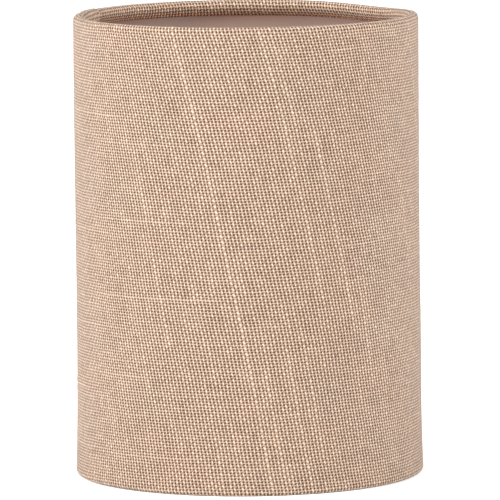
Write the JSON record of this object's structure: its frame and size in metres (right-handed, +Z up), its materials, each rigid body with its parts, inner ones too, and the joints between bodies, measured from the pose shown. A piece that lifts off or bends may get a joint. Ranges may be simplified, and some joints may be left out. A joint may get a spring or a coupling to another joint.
{
  "type": "drum lamp shade",
  "caption": "Straight drum shade of slubby linen on a plastic liner, rolled over wire rings, with a three-armed fitter ring at the bottom.",
  "frame": {"origin": "centre of the lower rolled edge, on the surface that the shade stands on", "axes": "+Z up along the shade's axis, the front on -Y, the side seam 20 degrees behind -X"},
  "size_m": [0.15, 0.15, 0.2],
  "materials": {
    "linen": "slubby plain-weave linen, dusty rose",
    "liner": "smooth satin laminate",
    "tape": "double-sided tape",
    "wire": "white powder-coated steel",
    "weld": "weld beads under the same white coat"
  },
  "bodies": {
    "root": {"linen_cover": "linen", "liner_panel": "liner", "seam_tape": "tape", "top_ring": "wire", "bottom_ring": "wire", "fitter_ring": "wire", "fitter_arm_1": "wire", "fitter_arm_2": "wire", "fitter_arm_3": "wire", "ring_welds": "weld", "fitter_welds": "weld"}
  },
  "joints": []
}
